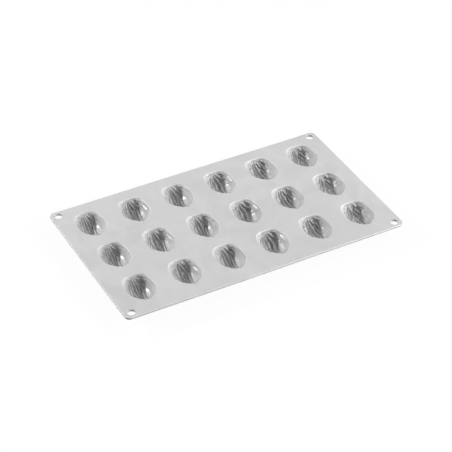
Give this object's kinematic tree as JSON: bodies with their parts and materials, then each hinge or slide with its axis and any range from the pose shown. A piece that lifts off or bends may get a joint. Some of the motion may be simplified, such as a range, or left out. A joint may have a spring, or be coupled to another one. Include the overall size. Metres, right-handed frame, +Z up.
{
  "type": "silicone cake mould",
  "caption": "Flat rectangular flexible baking mould with a grid of half-walnut cavities, ridged like nutshells, hanging holes in the corners and short feet underneath.",
  "frame": {"origin": "under the centre of the sheet, on the surface that the feet and the cups stand on", "axes": "+X along the sheet's long side, +Y across it towards the cavities' broad ends, +Z up out of the open cavities"},
  "size_m": [0.3, 0.175, 0.0164],
  "materials": {
    "silicone": "satin light grey silicone, glossier inside the cavities"
  },
  "bodies": {
    "root": {"sheet": "silicone", "walnut_cup_r1_c1": "silicone", "walnut_cup_r1_c2": "silicone", "walnut_cup_r1_c3": "silicone", "walnut_cup_r1_c4": "silicone", "walnut_cup_r1_c5": "silicone", "walnut_cup_r1_c6": "silicone", "walnut_cup_r2_c1": "silicone", "walnut_cup_r2_c2": "silicone", "walnut_cup_r2_c3": "silicone", "walnut_cup_r2_c4": "silicone", "walnut_cup_r2_c5": "silicone", "walnut_cup_r2_c6": "silicone", "walnut_cup_r3_c1": "silicone", "walnut_cup_r3_c2": "silicone", "walnut_cup_r3_c3": "silicone", "walnut_cup_r3_c4": "silicone", "walnut_cup_r3_c5": "silicone", "walnut_cup_r3_c6": "silicone", "foot_pin_left_1": "silicone", "foot_pin_left_2": "silicone", "foot_pin_left_3": "silicone", "foot_pin_right_1": "silicone", "foot_pin_right_2": "silicone", "foot_pin_right_3": "silicone"}
  },
  "joints": []
}
